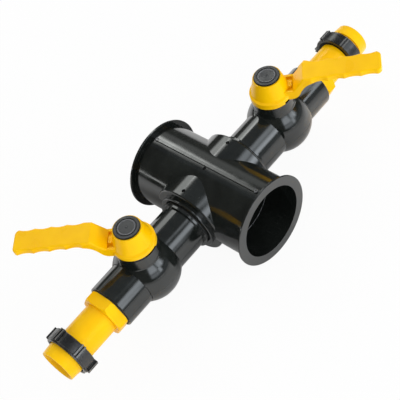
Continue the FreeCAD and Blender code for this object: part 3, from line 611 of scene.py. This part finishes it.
def bead_pip(end):
    """Small raised ring, a pin's mark, at the end of the mould bead on top of the run."""
    mesh_data = bmesh.new()
    centre = Vector((0.0, END_SIGNS[end] * PIP_PLACE, AXIS_HEIGHT + RUN_BEAD_TOP))
    ring = [(PIP_RADIUS + across, up)
            for across, up in half_round(PIP_WIDTH, PIP_HEIGHT, PIP_SINK)]
    loft(mesh_data, turned_about_z(ring, centre, PIP_STEPS))
    # The pip is drawn in a lighter grey, a painted highlight
    new_piece(end + "_bead_pip", mesh_data, "black_plastic", "manifold", "painted_highlight_grey")


def fine_details():
    """The small moulded details of the run's bore and of both valves."""
    for end in END_SIGNS:
        bore_line(end)
        bead_pip(end)
    for side in SIDES:
        cap_bead(side)
        ring_thread(side)
        parting_line(side, 0.0, side + "_back_parting_line")
        parting_line(side, math.pi, side + "_front_parting_line")


# Camera of the photograph
CAMERA_PLACE = (-0.330862, -0.511980, 0.774416)
CAMERA_RIGHT = (0.63199002, -0.73448441, -0.24722715)
CAMERA_UP = (0.70015525, 0.40438432, 0.58843517)
CAMERA_BACK = (-0.33222168, -0.54498255, 0.76981997)
CAMERA_LENS = 96.79
CAMERA_SHIFT = (0.00125, -0.0006)
SENSOR = 36.0
CAMERA_NEAR = 0.01
CAMERA_FAR = 20.0


def set_camera():
    """The camera at the photograph's place, angle and width."""
    camera = bpy.data.cameras.new("camera")
    camera.sensor_width = SENSOR
    camera.lens = CAMERA_LENS
    camera.shift_x, camera.shift_y = CAMERA_SHIFT
    camera.clip_start = CAMERA_NEAR
    camera.clip_end = CAMERA_FAR
    holder = bpy.data.objects.new("camera", camera)
    columns = Matrix((CAMERA_RIGHT, CAMERA_UP, CAMERA_BACK)).transposed().to_4x4()
    holder.matrix_world = Matrix.Translation(CAMERA_PLACE) @ columns
    bpy.context.scene.collection.objects.link(holder)
    bpy.context.scene.camera = holder


# Soft lamps: azimuth from +X and elevation in degrees, width, height, power and colour
LAMP_DISTANCE = 1.6
LAMPS = {
    "back_light": (66.0, 38.0, 0.5, 1.0, 5.0, (0.98, 1.0, 0.99)),
    "front_light": (-95.0, 13.0, 0.5, 0.5, 9.0, (0.98, 0.99, 1.0)),
    "side_light": (-56.0, 28.0, 0.5, 0.5, 4.0, (0.98, 0.99, 1.0)),
}


def softbox(name, azimuth, elevation, width, height, power, colour):
    """A soft lamp that faces the object and gives diffuse light alone."""
    lamp = bpy.data.lights.new(name, "AREA")
    lamp.shape = "RECTANGLE"
    lamp.size = width
    lamp.size_y = height
    lamp.energy = power
    lamp.color = colour
    holder = bpy.data.objects.new(name, lamp)
    turn, rise = math.radians(azimuth), math.radians(elevation)
    outward = Vector((
        math.cos(turn) * math.cos(rise), math.sin(turn) * math.cos(rise), math.sin(rise)))
    holder.location = outward * LAMP_DISTANCE + Vector((0.0, 0.0, AXIS_HEIGHT))
    holder.rotation_euler = outward.to_track_quat("Z", "Y").to_euler()
    holder.visible_camera = False
    holder.visible_glossy = False
    bpy.context.scene.collection.objects.link(holder)


def make_soft_window():
    """Brightness of a soft-edged window in the room's wall, placed and sized in degrees."""
    tree, wiring, entry, end = new_group("soft window", {
        "Azimuth": 0.0, "Elevation": 30.0, "Half Width": 10.0, "Half Height": 10.0,
        "Soft Edge": 4.0, "Brightness": 1.0}, ("Glow",))
    toward = wiring.parted(wiring.add("TexCoord").outputs["Generated"])
    turn = wiring.maths("DEGREES", wiring.maths("ARCTAN2", toward["Y"], toward["X"]))
    rise = wiring.maths("DEGREES", wiring.maths("ARCSINE", toward["Z"]))
    aside = wiring.maths("SUBTRACT", turn, entry["Azimuth"])
    wrapping = {0: aside, 1: HALF_CIRCLE, 2: -HALF_CIRCLE}
    wrapped = wiring.add("Math", {"operation": "WRAP"}, wrapping).outputs[0]
    above = wiring.maths("SUBTRACT", rise, entry["Elevation"])
    glow = entry["Brightness"]
    for distance, half in ((wrapped, entry["Half Width"]), (above, entry["Half Height"])):
        near = wiring.maths("SUBTRACT", half, entry["Soft Edge"])
        far = wiring.maths("ADD", half, entry["Soft Edge"])
        edge = wiring.add("MapRange", {"interpolation_type": "SMOOTHSTEP"}, {
            "Value": wiring.maths("ABSOLUTE", distance), "From Min": near, "From Max": far,
            "To Min": 1.0, "To Max": 0.0})
        glow = wiring.maths("MULTIPLY", glow, edge.outputs["Result"])
    wiring.join(end, "Glow", glow)
    return tree


PLAIN_WHITE = (0.97, 1.0, 0.97)
COOL_WHITE = (0.9, 0.97, 1.04)
# Windows and pale walls that the glossy faces mirror: azimuth from +X, elevation, half width, half
# height and soft edge in degrees, then brightness and tint
MIRRORED_ROOM = (
    (62.0, 38.5, 11.0, 13.0, 5.0, 3.9, PLAIN_WHITE),
    (54.0, 39.5, 5.0, 7.0, 3.5, 9.0, PLAIN_WHITE),
    (59.5, 46.0, 2.5, 2.5, 2.0, 10.0, PLAIN_WHITE),
    (76.0, 22.0, 3.0, 4.0, 3.0, 1.5, PLAIN_WHITE),
    (40.0, 32.0, 12.0, 9.0, 5.0, 0.9, PLAIN_WHITE),
    (143.0, 11.0, 40.0, 1.6, 1.0, 5.5, PLAIN_WHITE),
    (-66.0, 31.0, 15.0, 10.0, 6.0, 5.2, COOL_WHITE),
    (-62.5, 27.5, 3.5, 7.5, 3.0, 8.0, COOL_WHITE),
    (-46.0, 50.0, 13.0, 9.0, 5.0, 3.8, COOL_WHITE),
    (-80.0, 17.0, 6.0, 8.0, 4.0, 5.6, COOL_WHITE),
    (-103.0, 34.0, 16.0, 12.0, 4.0, 4.8, COOL_WHITE),
    (-103.0, 14.0, 16.0, 7.0, 4.0, 2.4, COOL_WHITE),
    (-65.0, 0.0, 45.0, 14.0, 6.0, 0.5, COOL_WHITE),
    (0.0, 72.0, 90.0, 22.0, 8.0, 0.3, COOL_WHITE),
)
MIRRORED_DARK = (0.13, 0.13, 0.12)
AMBIENT = 0.72
WHITE = (1.0, 1.0, 1.0)


def set_world():
    """White room, with its windows and walls painted where glossy faces mirror them."""
    world = bpy.data.worlds.new("room")
    bpy.context.scene.world = world
    world.use_nodes = True
    wiring = Wiring(world.node_tree)
    world.node_tree.nodes.clear()
    window = make_soft_window()
    bright = MIRRORED_DARK
    for azimuth, elevation, half_width, half_height, soft, brightness, tint in MIRRORED_ROOM:
        glow = wiring.effect(window, Azimuth=azimuth, Elevation=elevation, Half_Width=half_width,
                             Half_Height=half_height, Soft_Edge=soft, Brightness=brightness)["Glow"]
        tinted = wiring.add("VectorMath", {"operation": "SCALE"}, {"Vector": tint, "Scale": glow})
        bright = wiring.vector("MAXIMUM", bright, tinted.outputs[0])[0]
    path = wiring.add("LightPath").outputs
    ambient = wiring.add("Background", None, {"Color": opaque(WHITE), "Strength": AMBIENT})
    mirrored = wiring.add("Background", None, {"Color": bright, "Strength": 1.0})
    white = wiring.add("Background", None, {"Color": opaque(WHITE), "Strength": 1.0})
    mixed = wiring.add("MixShader", None, {0: path["Is Glossy Ray"], 1: ambient.outputs[0],
                                           2: mirrored.outputs[0]})
    shown = wiring.add("MixShader", None, {0: path["Is Camera Ray"], 1: mixed.outputs[0],
                                           2: white.outputs[0]})
    wiring.add("OutputWorld", None, {"Surface": shown.outputs[0]})


FLOOR_SIZE = 4.0
FLOOR_WHITE = 0.94
FLOOR_PALE = 0.9
MIRRORED_FLOOR = 1.6
# Soft shade on the mirrored floor: centre and half size of each patch, its soft edge and its depth,
# which is less than nothing for a light patch
FLOOR_SHADE = (
    ((0.0, 0.055), (1.0, 0.03), 0.11, 0.45),
    ((-0.05, 0.08), (0.04, 0.03), 0.06, 0.25),
    ((0.25, -0.07), (0.07, 0.03), 0.08, -0.35),
    ((0.0, -1.4), (2.0, 0.95), 0.15, 0.32),
)


def set_floor():
    """White floor that shows as the white background and keeps a soft shadow."""
    mesh_data = bmesh.new()
    bmesh.ops.create_grid(mesh_data, x_segments=1, y_segments=1, size=FLOOR_SIZE)
    mesh = bpy.data.meshes.new("floor")
    mesh_data.to_mesh(mesh)
    mesh_data.free()
    floor = bpy.data.objects.new("floor", mesh)
    bpy.context.scene.collection.objects.link(floor)
    material = bpy.data.materials.new("white_floor")
    material.use_nodes = True
    material.node_tree.nodes.clear()
    wiring = Wiring(material.node_tree)
    path = wiring.add("LightPath").outputs
    share = wiring.maths("MULTIPLY", path["Is Camera Ray"], FLOOR_WHITE)
    mirrored = wiring.maths("MAXIMUM", path["Is Glossy Ray"], path["Is Transmission Ray"])
    place = wiring.parted(wiring.object_place())
    shade = 0.0
    for centre, half, soft, depth in FLOOR_SHADE:
        patch = depth
        for axis in range(2):
            away = wiring.maths("ABSOLUTE", wiring.maths("SUBTRACT", place[axis], centre[axis]))
            patch = wiring.maths("MULTIPLY", patch, wiring.fade(away, half[axis], soft))
        shade = wiring.maths("ADD", shade, patch)
    shaded = wiring.maths("MULTIPLY", wiring.maths("SUBTRACT", 1.0, shade), MIRRORED_FLOOR)
    pale = wiring.spread(mirrored, 0.0, 1.0, FLOOR_PALE, shaded)
    lit = wiring.add("BsdfDiffuse", None, {"Color": pale})
    glow = wiring.add("Emission", None, {"Color": opaque(WHITE), "Strength": 1.0})
    mixed = wiring.add("MixShader", None, {0: share, 1: lit.outputs[0], 2: glow.outputs[0]})
    wiring.add("OutputMaterial", None, {"Surface": mixed.outputs[0]})
    mesh.materials.append(material)


def set_light():
    """Soft light from the back window and from the two front ones."""
    for name, values in LAMPS.items():
        softbox(name, *values)
    bpy.context.scene.view_settings.view_transform = "Standard"


dress_solids()
fine_details()
set_camera()
set_world()
set_floor()
set_light()
